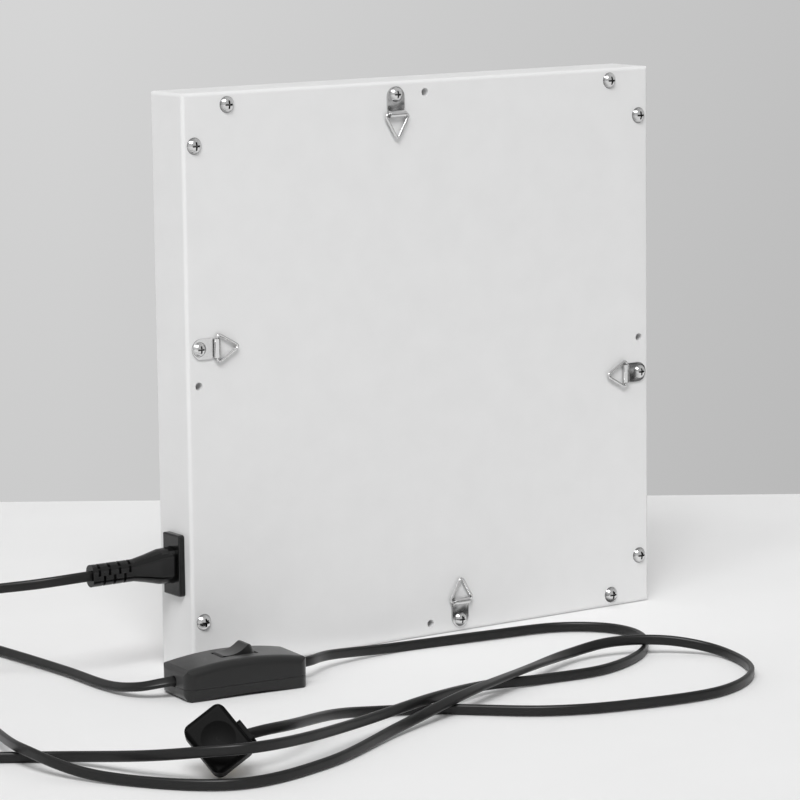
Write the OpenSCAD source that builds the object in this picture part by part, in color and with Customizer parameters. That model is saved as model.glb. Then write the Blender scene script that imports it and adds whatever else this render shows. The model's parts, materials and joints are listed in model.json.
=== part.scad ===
// Square red light panel with rear hangers, a side inlet and a flat cord with an in-line switch.
// Millimetres. +Z is up, the light faces -Y, the inlet is on the +X side.
// The origin is the centre of the face that the panel stands on.

/* [Panel] */
// Width and height of the square panel
panel_w = 310; // [296:1:330]
// Depth of the panel from its front rim to its back
panel_t = 32; // [31:0.5:40]
// Thickness of the moulded walls
wall = 2; // [1.6:0.1:2.4]
// Radius of the edges around the back
back_r = 2; // [1.5:0.5:3]
// Radius of the edges around the front rim
rim_r = 1.5; // [0.5:0.1:1.5]
// Thickness of the front bezel
bezel_t = 2.5; // [2:0.1:3]
// Depth of the bezel behind the front rim
bezel_inset = 0.6; // [0.3:0.1:1]
// Clearance around the bezel inside the rim
bezel_clear = 0.2; // [0.1:0.05:0.4]
// Width of the bezel's border around the window
bezel_border = 15.5; // [15.4:0.1:17]
// Width of the bevel around the window
window_bevel = 1.5; // [0.5:0.1:2]
// Thickness of the skirt that carries the light board
skirt_t = 2; // [1.6:0.1:2.4]

/* [Screws and bosses] */
// Distance of a cover screw from the nearer edge
cover_edge = 7; // [6.8:0.1:7.6]
// Distance of a cover screw from the farther edge of its corner
cover_corner = 27.7; // [20:0.1:40]
// Length of a cover screw under its head
cover_len = 20; // [18:0.5:22]
// Diameter of a screw's shank
shank_d = 4; // [3.5:0.1:4.2]
// Diameter of a cover screw's head
cover_head_d = 9; // [7:0.1:9.4]
// Height of a cover screw's head
cover_head_h = 2.8; // [2:0.1:3.2]
// Diameter of a hanger screw's head
hang_head_d = 8; // [6.5:0.1:8.4]
// Height of a hanger screw's head
hang_head_h = 2.3; // [1.8:0.1:2.4]
// Length of a hanger screw under its head
hang_len = 9; // [8:0.5:10]
// Diameter of the screw bosses
boss_d = 7.5; // [7:0.1:8]
// Depth of the sleeves on the back wall
sleeve_h = 12; // [11:0.5:13]
// Depth of the hanger and spare bosses on the back wall
boss_h = 8; // [8:0.5:9]
// Clearance around a screw in its hole
screw_clear = 0.05; // [0.03:0.01:0.08]
// Diameter of the spare fixing holes
spare_d = 4.4; // [4:0.1:5]
// Distance of a spare fixing hole from the edge
spare_edge = 7; // [6.8:0.1:7.6]

/* [Light board] */
// Distance between the centres of two lamps
led_pitch = 19; // [15:0.5:26]
// Least distance from the window's edge to the centre of a lamp
led_margin = 6.5; // [5:0.1:8]
// Height of a lamp in front of the board
led_h = 7.2; // [6:0.1:7.4]
// Diameter of a lamp's dome
led_d = 5; // [4.8:0.1:5.2]
// Diameter of a lamp's foot
led_foot_d = 5.8; // [5.4:0.1:6]
// Height of a lamp's foot
led_foot_h = 1; // [0.8:0.1:1.2]
// Depth of the lamps' tips behind the front rim
led_inset = 0.5; // [0.3:0.1:1]
// Thickness of the circuit boards
board_t = 1.6; // [1.2:0.1:2]
// Gap between the light board and the bezel's bosses
board_clear = 0.3; // [0.2:0.05:0.5]
// Diameter of a board screw
small_screw_d = 2; // [1.8:0.1:2.2]
// Length of a board screw
small_screw_len = 5; // [4.5:0.1:5.5]
// Diameter of a board screw's head
small_head_d = 3.8; // [3.2:0.1:4]
// Height of a board screw's head
small_head_h = 1.4; // [1.2:0.1:1.6]
// Distance of a board screw from the middle of its side
board_screw_at = 66.5; // [50:0.5:90]
// Diameter of the posts behind the bezel
post_d = 4.8; // [4.6:0.1:5]

/* [Driver] */
// Width of the driver board
driver_w = 100; // [96:1:104]
// Height of the driver board
driver_h = 58; // [56:1:62]
// Distance of the driver board's centre from the panel's side
driver_x = 85; // [83:1:95]
// Height of the standoffs under the driver board
standoff_h = 4; // [3.5:0.1:4.5]
// Diameter of the standoffs
standoff_d = 7; // [6.5:0.1:8]
// Distance of a driver screw from the board's edges
driver_screw_edge = 5; // [4.5:0.1:6]
// Diameter of the storage capacitors
cap_d = 10; // [8:0.5:11]
// Length of the storage capacitors
cap_len = 18; // [14:0.5:20]
// Width of the transformer
trafo_w = 20; // [18:0.5:22]
// Depth of the transformer
trafo_d = 12; // [10:0.5:12.5]
// Diameter of the ring choke
choke_d = 14; // [12:0.5:16]
// Diameter of the ring choke's winding
choke_wire_d = 5; // [4:0.1:5.5]
// Length of the control chip
chip_l = 10; // [8:0.5:12]
// Length of the rectifier
rectifier_l = 12; // [10:0.5:14]
// Width of the control chip
chip_w = 6; // [4:0.5:8]
// Height of the control chip
chip_h = 3; // [2:0.5:4]
// Thickness of the rectifier
rectifier_t = 4; // [3:0.5:5]
// Height of the rectifier
rectifier_h = 7; // [6:0.5:9]
// Length of the light leads along the driver board
lead_run = 20; // [15:1:30]
// Diameter of the inner leads
lead_d = 1.8; // [1.4:0.1:2]

/* [Inlet and connector] */
// Height of the inlet's centre
inlet_z = 58; // [50:1:70]
// Width of the inlet's flange
flange_w = 17; // [16:0.1:20]
// Height of the inlet's flange
flange_h = 33.5; // [32:0.1:38]
// Thickness of the inlet's flange
flange_t = 3.4; // [2.5:0.1:4]
// Width of the inlet's shell in the wall
inlet_w = 14; // [13.6:0.1:14.6]
// Height of the inlet's shell in the wall
inlet_h = 26; // [25:0.1:28]
// Depth of the inlet's shell behind the flange
inlet_depth = 14; // [13:0.5:16]
// Gap between the inlet's shell and the light board
inlet_gap = 0.5; // [0.3:0.1:0.8]
// Clearance of the inlet's shell in the wall
inlet_clear = 0.15; // [0.1:0.01:0.3]
// Width of the inlet's socket
socket_w = 11.4; // [11:0.1:11.8]
// Height of the inlet's socket
socket_h = 20.4; // [20:0.1:22]
// Thickness of the socket's floor
socket_floor = 3; // [2.5:0.1:3.5]
// Clearance of the connector in the socket
socket_clear = 0.3; // [0.2:0.05:0.4]
// Diameter of the inlet's pins
pin_d = 2.4; // [2.2:0.1:2.6]
// Distance between the inlet's pins
pin_gap = 8.6; // [8:0.1:9]
// Length of the inlet's pins in the socket
pin_len = 9; // [8:0.1:10]
// Wall of the connector's contact tubes
tube_wall = 0.5; // [0.4:0.05:0.6]
// Length of the connector's moulded body outside the flange
conn_len = 24; // [22:0.5:25]
// Length of the connector's ribbed strain relief
relief_len = 26; // [24:0.5:27]
// Height of the strain relief
relief_h = 12; // [11:0.1:13]
// Width of the strain relief
relief_w = 8; // [7.5:0.1:9]
// Pitch of the strain relief's slots
slot_pitch = 6.2; // [5.8:0.1:6.4]
// Width of the strain relief's slots
slot_w = 1.5; // [1:0.1:2]

/* [Hangers] */
// Distance of a hanger from the middle of its side
hang_shift = 19.8; // [17:0.1:30]
// Distance of a hanger screw from the edge
hang_edge = 7.2; // [7:0.1:7.6]
// Width of a hanger strap
strap_w = 11; // [10.4:0.1:12]
// Thickness of a hanger strap
strap_t = 1; // [0.8:0.05:1.2]
// Distance from a hanger's screw to its eye
strap_reach = 10.5; // [10.2:0.1:13]
// Distance of a hanger's screw from the centre of its strap's round end
strap_set = 1.2; // [0.8:0.1:1.4]
// Width of a strap's eye
eye_w = 10.2; // [9:0.1:10.4]
// Diameter of the ring's wire
wire_d = 1.6; // [1.4:0.05:1.8]
// Clearance of the wire in the eye
eye_clear = 0.08; // [0.05:0.01:0.1]
// Width of a ring between its sides' ends, before its bends are rounded
ring_w = 16.2; // [15.8:0.1:17]
// Distance from a ring's bar to where its sides meet, before the bend is rounded
ring_reach = 14; // [13.4:0.1:14.6]
// Radius of a ring's bends
bend_r = 1.4; // [1.2:0.05:1.4]

/* [Cord] */
// Width of the flat cord
cord_w = 5.6; // [5.4:0.1:5.8]
// Thickness of the flat cord
cord_t = 3; // [2.8:0.1:3.1]

/* [Switch] */
// Distance of the switch's centre from the middle of the panel
switch_x = 155.5; // [153:0.1:157]
// Distance of the switch's centre behind the panel's middle plane
switch_y = 58.3; // [55:0.1:60]
// Turn of the switch on the table
switch_turn = -5.7; // [-7:0.1:-4]
// Length of the switch
switch_l = 71; // [69:0.5:72]
// Width of the switch
switch_w = 32; // [30:0.5:33]
// Height of the switch at its middle
switch_h = 20; // [19:0.1:21]
// Rise of the switch's top from its ends to its middle
switch_rise = 3.7; // [2.5:0.1:4]
// Height of the line between the switch's shells
split_h = 6.4; // [6.2:0.1:6.5]
// Width of the seam between the switch's shells
seam_w = 0.2; // [0.1:0.05:0.5]
// Depth of the seam
seam_d = 0.5; // [0.3:0.1:0.8]
// Thickness of the switch's shells
shell_t = 1.8; // [1.6:0.1:2]
// Radius of the switch's upright corners
switch_corner_r = 5; // [4:0.5:6]
// Radius of the switch's upper edges
switch_edge_r = 4; // [3:0.1:4.4]
// Radius of the upper and lower edges at the switch's ends
switch_end_r = 3.8; // [2:0.1:4.2]
// Radius of the lower edges along the switch's sides
switch_foot_r = 1; // [0.8:0.1:2.4]
// Rise of the arch under the switch's base
base_hollow = 1.5; // [0.4:0.1:1.8]
// Clearance around the cord in the switch
gland_clear = 0.3; // [0.2:0.05:0.4]
// Height of the cord where it enters the switch
cord_z = 8.9; // [8.2:0.1:9.4]
// Width of the rocker
rocker_w = 12; // [11:0.1:13]
// Radius of the rocker's ends about its pin
rocker_r = 10.6; // [10:0.1:11]
// Height of the rocker's tips above its pin
rocker_tip = 7; // [6.6:0.1:7.4]
// Dip of the rocker's saddle
rocker_dip = 2; // [1:0.1:2.4]
// Radius of the rocker's tips
rocker_tip_r = 1.9; // [1.2:0.1:2.2]
// Radius of the rocker's corners, seen from above
rocker_plan_r = 5.2; // [2:0.1:5.4]
// Length of the copper strip under the rocker
bridge_l = 14; // [13:0.1:15]
// Tilt of the rocker to each side
rocker_tilt = 18; // [12:0.5:19]
// Clearance around the rocker
rocker_clear = 0.4; // [0.3:0.05:0.5]
// Depth of the rocker's pin under the top of the switch
pin_depth = 3.8; // [3.6:0.1:4.4]
// Diameter of the rocker's pin
rocker_pin_d = 2.5; // [2.2:0.1:2.7]
// Reach of the rocker's nose below its pin
nose_reach = 5; // [4.5:0.1:5.5]
// Length of the leaf spring under the nose
spring_l = 13; // [12:0.5:14]
// Thickness of the leaf spring
spring_t = 0.4; // [0.3:0.05:0.5]
// Width of a fixed contact
contact_w = 3; // [2.5:0.1:3.2]
// Distance of a fixed contact's centre from the rocker's pin
contact_at = 5.5; // [5.2:0.1:6]
// Distance of a switch screw from the switch's end
switch_screw_edge = 8; // [8:0.1:9]
// Clearance of the pin in its bores
pin_clear = 0.05; // [0.03:0.01:0.08]

/* [Plug] */
// Length of the plug's face
plug_l = 29; // [28:0.5:32]
// Width of the plug's face
plug_w = 23.5; // [22:0.5:25]
// Thickness of the plug
plug_t = 13; // [12:0.5:14]
// Radius of the plug's corners, seen on its face
plug_corner_r = 5; // [4:0.5:6]
// Radius of the plug's edges
plug_r = 2.5; // [2:0.1:3]
// Depth of the grip hollow in the plug's face
grip_depth = 0.8; // [0.4:0.1:1]
// Radius of the grip hollow
grip_r = 45; // [35:1:60]
// Length of the plug's blades
blade_len = 17; // [16:0.5:17.5]
// Width of the plug's blades
blade_w = 6.3; // [6:0.1:6.5]
// Thickness of the plug's blades
blade_t = 1.5; // [1.4:0.05:1.6]
// Distance between the plug's blades
blade_gap = 12.7; // [12:0.1:13]
// Clearance around the blades in the plug
blade_clear = 0.05; // [0.03:0.01:0.1]
// Width of the collar that the cord leaves through
collar_w = 13; // [11:0.1:14]
// Height of the collar on the plug's side
collar_h = 2; // [1.5:0.1:2.5]

/* [Hidden] */
$fn = 48;

// Levels from front to back
half = panel_w / 2;
front_y = -panel_t / 2;
back_y = panel_t / 2;
inner_back_y = back_y - wall;
bezel_front_y = front_y + bezel_inset;
bezel_back_y = bezel_front_y + bezel_t;
board_front_y = front_y + led_inset + led_h;
board_back_y = board_front_y + board_t;
meet_y = inner_back_y - sleeve_h;
driver_back_y = inner_back_y - standoff_h;
driver_front_y = driver_back_y - board_t;

// Sizes that follow from the driving ones
overlap = wall / 2;
hole_d = shank_d + 2 * screw_clear;
bezel_w = panel_w - 2 * wall - 2 * bezel_clear;
light_board_w = panel_w - 2 * cover_edge - boss_d - 2 * board_clear;
window_w = panel_w - 2 * bezel_border;
led_count = floor((window_w - 2 * led_margin) / led_pitch + 0.001) + 1;
post_at = window_w / 2 + skirt_t;
small_hole_d = small_screw_d + 2 * screw_clear;
inlet_y = board_back_y + inlet_gap + inlet_w / 2;
flange_x = half + flange_t;
floor_x = half - inlet_depth + socket_floor;
relief_x = flange_x + conn_len;
relief_end_x = relief_x + relief_len;
tube_d = pin_d + 2 * screw_clear + 2 * tube_wall;
eye_r = wire_d / 2 + eye_clear + strap_t;
cap_x = (trafo_w + cap_d) / 2 + 2;
driver_at = half - driver_x;
choke_out_r = (choke_d + choke_wire_d) / 2;
choke_x = driver_w / 2 - driver_screw_edge - small_head_d / 2 - 1 - choke_out_r;
choke_z = cap_len / 2 + choke_out_r + 0.5;
arch_r = ((switch_l / 2) ^ 2 + switch_rise ^ 2) / (2 * switch_rise);
pin_z = switch_h - pin_depth;
window_l = 2 * (rocker_r + rocker_clear);
cheek_t = 2.2;
cheek_y = rocker_w / 2 + rocker_clear;
switch_post_d = 6;
switch_screw_len = 8;
seat_z = base_hollow + small_head_h + 0.2;
switch_screw_x = switch_l / 2 - switch_screw_edge;
switch_screw_y = switch_w / 2 - shell_t - switch_post_d / 2 - 2;
switch_screw_at = [[-switch_screw_x, switch_screw_y], [switch_screw_x, -switch_screw_y]];
wire_z = cord_z - (cord_w - cord_t) / 2;

// Places on the back, from the panel's centre
cover_places = [
    for (s = [-1, 1], t = [-1, 1], k = [0, 1])
        k == 0 ? [s * (half - cover_edge), t * (half - cover_corner)]
               : [s * (half - cover_corner), t * (half - cover_edge)]
];
spare_places = [for (a = [0 : 90 : 270]) (half - spare_edge) * [sin(a), cos(a)]];
hang_places = [
    [hang_shift, half - hang_edge],
    [half - hang_edge, hang_shift],
    [hang_edge - half, -hang_shift],
    [-hang_shift, hang_edge - half]
];
// Turns that point each hanger's ring at the panel's middle: top, left, right, bottom
hang_turns = [0, 90, 270, 180];
board_places = [
    for (s = [-1, 1], t = [-1, 1], k = [0, 1])
        k == 0 ? [s * post_at, t * board_screw_at] : [s * board_screw_at, t * post_at]
];
driver_places = [
    for (s = [-1, 1], t = [-1, 1])
        [driver_at + s * (driver_w / 2 - driver_screw_edge),
            inlet_z - half + t * (driver_h / 2 - driver_screw_edge)]
];

// Place of the cord on the switch's long axis
function switch_at(d) = [switch_x + d * cos(switch_turn), switch_y + d * sin(switch_turn), cord_z];

// Routes of the cords: x, y, z and the roll of the flat section, which stands on edge at 0
switch_route = [
    [relief_end_x - 5, inlet_y, inlet_z, 0], [relief_end_x + 5, inlet_y, inlet_z, 0],
    [236, -7, 56, 10], [262, -31, 51, 20], [282, -62, 41, 10], [288, -100, 27, 0],
    [280, -130, 13, 0], [257, -144, 5.4, 0], [230, -135, 3.3, 0], [219, -108, 3.1, 0],
    [214.5, -72, 3.1, 40], [211, -23, 3, 55], [211, 20, 3.4, 50], [207, 44, 6.2, 50],
    [each switch_at(switch_l / 2 + 5), 45], [each switch_at(switch_l / 2 - 6), 45]
];
plug_route = [
    [each switch_at(6 - switch_l / 2), 0], [112, 62.6, 10, 0], [88, 48, 7.4, 0],
    [42, 38.5, 3.1, 0], [-18, 45, 3.1, 0], [-60, 52, 3.1, 0], [-83, 73, 3.1, 0], [-82, 102, 3.1, 0],
    [-57, 132, 3.1, 0], [-18, 150, 3.1, 0], [24, 148, 3.2, 0], [58, 148, 5, 0], [108, 170, 9.8, 0],
    [170, 197, 12, 0], [216, 219, 15.6, 0], [250, 229, 18.2, 0], [272, 217, 16.8, 0],
    [288, 186, 11, 0], [306, 138, 3.6, 0], [344, 108, 3.1, 0], [374, 76, 3.1, 0], [365, 38, 3.1, 0],
    [328, 27, 3.1, 0], [307, 58, 4.6, 0], [325, 134, 9.9, 0], [309, 182, 3.6, 0], [267, 231, 3.2, 0],
    [209, 225, 3.2, 0], [143, 192, 4.6, 10], [88, 171, 9.2, 60], [30, 144, 8.6, 90],
    [-18, 120, 6.4, 40], [-48, 120, 8.6, 10], [-76, 134, 7.8, 0], [-93, 158, 3.5, 0],
    [-77, 201, 3.1, 0], [-35, 226, 3.1, 0], [20, 221, 3.1, 0], [62, 205, 3.1, 0], [102, 170, 3.1, 0],
    [134, 156, 4, 0], [167, 168, 9.6, 0], [214, 203, 18.6, 0], [236, 212, 20.8, 0], [249, 211, 19.4, 0]
];
switch_rings = 20;
plug_rings = 60;
cord_sides = 10;

// Where the plug lies: its place, and the turns that lean it on a corner and on its blades
plug_x = 261;
plug_y = 211;
plug_heading = 146;
plug_lean = 65;
plug_roll = -52;
plug_z = 1.3 * plug_r + cos(plug_lean) * (plug_t - plug_r)
    + sin(plug_lean) * ((plug_l / 2 - plug_corner_r) * sin(-plug_roll)
    + (plug_w / 2 - plug_corner_r) * cos(plug_roll) + plug_corner_r - plug_r);

// Rounded rectangle about the origin
module round_rect(w, h, r) {
    square([w - 2 * r, h], center = true);
    square([w, h - 2 * r], center = true);
    for (x = [-1, 1], y = [-1, 1])
        translate([x * (w / 2 - r), y * (h / 2 - r)]) circle(r);
}

// Upright slot shape about the origin
module stadium(w, h) {
    square([w, h - w], center = true);
    for (y = [-1, 1]) translate([0, y * (h - w) / 2]) circle(d = w);
}

// Side view of a block whose upper corners have one radius and whose lower ones have another
module crown_profile(w, h, top_r, low_r) {
    translate([-w / 2, low_r]) square([w, h - top_r - low_r]);
    translate([-w / 2 + top_r, h - top_r]) square([w - 2 * top_r, top_r]);
    for (s = [-1, 1]) translate([s * (w / 2 - top_r), h - top_r]) circle(top_r);
    translate([-w / 2 + low_r, 0]) square([w - 2 * low_r, low_r]);
    for (s = [-1, 1]) translate([s * (w / 2 - low_r), low_r]) circle(low_r);
}

// Block on the XY plane with rounded corners in plan and rounded upper and lower edges
module soft_block(w, d, h, plan_r, top_r, low_r) {
    intersection() {
        linear_extrude(h) round_rect(w, d, plan_r);
        translate([-w / 2, 0, 0]) rotate([90, 0, 90]) linear_extrude(w) crown_profile(d, h, top_r, low_r);
        translate([0, d / 2, 0]) rotate([90, 0, 0]) linear_extrude(d) crown_profile(w, h, top_r, low_r);
    }
}

// Slab between two depths, drawn in X and Z from the panel's centre
module slab_y(y0, y1) {
    translate([0, y1, half]) rotate([90, 0, 0]) linear_extrude(y1 - y0) children();
}

// Slab between two widths, drawn in Y and Z from the inlet's centre
module slab_x(x0, x1) {
    translate([x0, inlet_y, inlet_z]) rotate([90, 0, 90]) linear_extrude(x1 - x0) children();
}

// Things that stand on a depth and point back, at a place from the panel's centre
module at_back(place, y) {
    translate([place[0], y, half + place[1]]) rotate([-90, 0, 0]) children();
}

// Straight wire between two points
module rod(a, b, d) {
    v = b - a;
    translate(a) rotate([0, acos(v[2] / norm(v)), atan2(v[1], v[0])]) cylinder(d = d, h = norm(v));
}

// Wire with square bends through a list of points
module bent_wire(points, d) {
    for (i = [0 : len(points) - 2]) rod(points[i], points[i + 1], d);
    for (i = [1 : len(points) - 2]) translate(points[i]) sphere(d = d);
}

// Screw that points down from a domed, cross-slotted head
module screw(d, len, head_d, head_h) {
    dome_r = (head_d ^ 2 / 4 + head_h ^ 2) / (2 * head_h);
    slot = head_d / 9;
    translate([0, 0, -len]) cylinder(d = d, h = len + head_h / 4);
    difference() {
        intersection() {
            cylinder(d = head_d, h = head_h);
            translate([0, 0, head_h - dome_r]) sphere(dome_r, $fn = 96);
        }
        for (a = [0, 90]) rotate(a) translate([-head_d / 4, -slot / 2, head_h * 0.45])
            cube([head_d / 2, slot, head_h]);
    }
}

// Moulded tray of back and sides
module rear_housing() {
    color("white") difference() {
        union() {
            difference() {
                translate([0, front_y, half]) rotate([-90, 0, 0])
                    soft_block(panel_w, panel_w, panel_t, back_r, back_r, rim_r);
                slab_y(front_y - wall, inner_back_y) square(panel_w - 2 * wall, center = true);
            }
            for (p = cover_places) at_back(p, meet_y) cylinder(d = boss_d, h = sleeve_h + overlap);
            for (p = concat(hang_places, spare_places))
                at_back(p, inner_back_y - boss_h) cylinder(d = boss_d, h = boss_h + overlap);
            for (p = driver_places) at_back(p, driver_back_y)
                cylinder(d = standoff_d, h = standoff_h + overlap);
        }
        for (p = cover_places) at_back(p, meet_y - wall) cylinder(d = hole_d, h = panel_t);
        for (p = hang_places) at_back(p, inner_back_y - boss_h + overlap) cylinder(d = hole_d, h = panel_t);
        for (p = spare_places) at_back(p, inner_back_y - boss_h + overlap)
            cylinder(d = spare_d, h = panel_t);
        for (p = driver_places) at_back(p, driver_back_y - wall)
            cylinder(d = small_hole_d, h = standoff_h + 1.5 * wall);
        slab_x(half - 2 * wall, half + wall)
            square([inlet_w + 2 * inlet_clear, inlet_h + 2 * inlet_clear], center = true);
    }
}

// Front frame with a bevelled window, a skirt behind it and the bosses for the screws
module front_bezel() {
    color("white") difference() {
        union() {
            slab_y(bezel_front_y, bezel_back_y) square(bezel_w, center = true);
            slab_y(bezel_back_y - overlap, board_front_y) square(window_w + 2 * skirt_t, center = true);
            for (p = cover_places) at_back(p, bezel_back_y - overlap)
                cylinder(d = boss_d, h = meet_y - bezel_back_y + overlap);
            for (p = board_places) at_back(p, bezel_back_y - overlap)
                cylinder(d = post_d, h = board_front_y - bezel_back_y + overlap);
        }
        slab_y(front_y - wall, board_front_y + wall) square(window_w, center = true);
        for (a = [0 : 90 : 270]) translate([0, 0, half]) rotate([0, a, 0])
            translate([0, bezel_front_y, window_w / 2]) rotate([45, 0, 0])
                cube([panel_w * 2, window_bevel * sqrt(2), window_bevel * sqrt(2)], center = true);
        for (p = cover_places) at_back(p, back_y - cover_len - overlap) cylinder(d = hole_d, h = panel_t);
        for (p = board_places) at_back(p, board_back_y - small_screw_len - overlap / 2)
            cylinder(d = small_hole_d, h = panel_t);
    }
}

// White circuit board behind the window
module light_board() {
    color("whitesmoke") difference() {
        slab_y(board_front_y, board_back_y) square(light_board_w, center = true);
        for (p = board_places) at_back(p, board_front_y - wall)
            cylinder(d = small_hole_d, h = board_t + 2 * wall);
    }
}

// Domed lamp that points out of the front
module lamp(place) {
    translate([place[0], board_front_y, half + place[1]]) rotate([90, 0, 0]) {
        cylinder(d = led_foot_d, h = led_foot_h);
        cylinder(d = led_d, h = led_h - led_d / 2);
        translate([0, 0, led_h - led_d / 2]) sphere(d = led_d);
    }
}

// Every second lamp of the grid
module lamp_grid(odd) {
    for (i = [0 : led_count - 1], j = [0 : led_count - 1])
        if ((i + j) % 2 == odd) lamp(led_pitch * [i - (led_count - 1) / 2, j - (led_count - 1) / 2]);
}

module red_lamps() { color("firebrick") lamp_grid(0); }

module infrared_lamps() { color("lightgray") lamp_grid(1); }

module cover_screws() {
    color("silver") for (p = cover_places) at_back(p, back_y)
        screw(shank_d, cover_len, cover_head_d, cover_head_h);
}

module board_screws() {
    color("silver") for (p = board_places) at_back(p, board_back_y)
        screw(small_screw_d, small_screw_len, small_head_d, small_head_h);
}

module driver_board() {
    color("seagreen") difference() {
        translate([driver_at, 0, inlet_z - half]) slab_y(driver_front_y, driver_back_y)
            round_rect(driver_w, driver_h, driver_screw_edge / 2);
        for (p = driver_places) at_back(p, driver_front_y - wall)
            cylinder(d = small_hole_d, h = board_t + 2 * wall);
    }
}

module driver_screws() {
    color("silver") for (p = driver_places) at_back(p, driver_front_y) rotate([180, 0, 0])
        screw(small_screw_d, small_screw_len, small_head_d, small_head_h);
}

// Place on the driver board's front, from the board's centre, with Z out of the board
module on_driver(x, z) {
    translate([driver_at + x, driver_front_y, inlet_z + z]) rotate([90, 0, 0]) children();
}

module driver_transformer() {
    color("gold") on_driver(0, 0) {
        translate([-trafo_w / 2, -trafo_w / 2, 0]) cube([trafo_w, trafo_w, trafo_d / 4]);
        translate([0, 0, trafo_d / 4]) linear_extrude(trafo_d / 2)
            round_rect(trafo_w * 0.9, trafo_w * 0.8, trafo_w / 6);
        translate([-trafo_w / 2, -trafo_w / 4, trafo_d * 0.75]) cube([trafo_w, trafo_w / 2, trafo_d / 4]);
    }
}

module driver_capacitors() {
    color("midnightblue") for (x = [-1, 1]) on_driver(x * cap_x, -cap_len / 2)
        translate([0, 0, cap_d / 2]) rotate([-90, 0, 0]) cylinder(d = cap_d, h = cap_len);
}

module driver_choke() {
    color("saddlebrown") on_driver(choke_x, choke_z)
        translate([0, 0, choke_wire_d / 2]) rotate_extrude()
            translate([choke_d / 2, 0]) circle(d = choke_wire_d);
}

module driver_chips() {
    color("dimgray") {
        on_driver(-driver_w / 3, driver_h / 4) translate([-chip_l / 2, -chip_w / 2, 0])
            cube([chip_l, chip_w, chip_h]);
        on_driver(-driver_w / 3, -driver_h / 4) translate([-chip_w / 2, -chip_w / 2, 0])
            cube([chip_w, chip_w, chip_h]);
        on_driver(driver_w / 5, -driver_h / 3) translate([-rectifier_l / 2, -rectifier_t / 2, 0])
            cube([rectifier_l, rectifier_t, rectifier_h]);
    }
}

// Snap-in inlet: flange, shell and the socket that takes the connector
module inlet_body() {
    color("black") difference() {
        union() {
            translate([half, inlet_y, inlet_z]) rotate([90, 0, 90])
                soft_block(flange_w, flange_h, flange_t, 2, 1, 0.2);
            slab_x(half - inlet_depth, half + overlap) round_rect(inlet_w, inlet_h, 1.5);
        }
        slab_x(floor_x, flange_x + wall) stadium(socket_w, socket_h);
        for (s = [-1, 1]) translate([half - inlet_depth - wall, inlet_y, inlet_z + s * pin_gap / 2])
            rotate([0, 90, 0]) cylinder(d = pin_d + 2 * screw_clear, h = socket_floor + 2 * wall);
    }
}

// Two round pins with flat tabs behind
module inlet_pins() {
    tab_len = 8;
    color("silver") for (s = [-1, 1]) translate([half - inlet_depth, inlet_y, inlet_z + s * pin_gap / 2]) {
        rotate([0, 90, 0]) cylinder(d = pin_d, h = socket_floor + pin_len);
        translate([-tab_len, -0.4, -pin_d]) cube([tab_len, 0.8, 2 * pin_d]);
    }
}

// Two leads from the inlet's tabs to the driver board
module inlet_leads() {
    tab_x = half - inlet_depth - 8;
    edge_x = driver_at + driver_w / 2 - driver_screw_edge;
    color("sienna") for (s = [-1, 1]) let(z = inlet_z + s * pin_gap / 2)
        bent_wire([[tab_x, inlet_y, z], [edge_x, inlet_y, z], [edge_x, driver_front_y, z]], lead_d);
}

// Two leads from the driver board to the back of the light board
module light_leads() {
    edge_x = driver_at - driver_w / 2 + driver_screw_edge;
    mid_y = (driver_front_y + board_back_y) / 2;
    color("firebrick") for (s = [-1, 1]) let(z = inlet_z + s * pin_gap / 2)
        bent_wire([[edge_x, driver_front_y, z], [edge_x, mid_y, z], [edge_x - lead_run, mid_y, z],
            [edge_x - lead_run, board_back_y, z]], lead_d);
}

// Hanger's own frame: the screw at the origin on the back, the ring along +Y, Z out of the back
module at_hanger(i) {
    at_back(hang_places[i], back_y) rotate([0, 0, hang_turns[i]]) children();
}

// Strap with a round end for the screw and an eye folded around the ring's bar
module strap(i) {
    color("gainsboro") at_hanger(i) difference() {
        union() {
            linear_extrude(strap_t) {
                translate([0, strap_set]) circle(d = strap_w);
                translate([-strap_w / 2, strap_set]) square([strap_w, strap_reach - eye_r - 1 - strap_set]);
                translate([-eye_w / 2, strap_set]) square([eye_w, strap_reach - strap_set]);
            }
            translate([-eye_w / 2, strap_reach, eye_r]) rotate([0, 90, 0]) cylinder(r = eye_r, h = eye_w);
        }
        translate([0, 0, -strap_t]) cylinder(d = hole_d, h = 3 * strap_t);
        translate([-strap_w, strap_reach, eye_r]) rotate([0, 90, 0])
            cylinder(d = wire_d + 2 * eye_clear, h = 2 * strap_w);
    }
}

module strap_top() { strap(0); }

module strap_left() { strap(1); }

module strap_right() { strap(2); }

module strap_bottom() { strap(3); }

module hanger_screws() {
    color("silver") for (i = [0 : 3]) at_hanger(i) translate([0, 0, strap_t])
        screw(shank_d, hang_len, hang_head_d, hang_head_h);
}

// Length that a bend takes from each side of a corner with the given inner angle
function bend_cut(angle) = bend_r / tan(angle / 2);

// Straight side between two corners, less what their bends take
module ring_side(a, b, cut_a, cut_b) {
    u = (b - a) / norm(b - a);
    rod(a + u * cut_a, b - u * cut_b, wire_d);
}

// Round bend at a corner that turns from one side to the next
module ring_bend(corner, start, turn) {
    lap = 6;
    translate(corner) rotate([0, 0, start]) translate([bend_cut(180 - turn), bend_r, 0])
        rotate([0, 0, -90 - turn - lap]) rotate_extrude(angle = turn + 2 * lap)
            translate([bend_r, 0]) circle(d = wire_d - 0.1);
}

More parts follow.
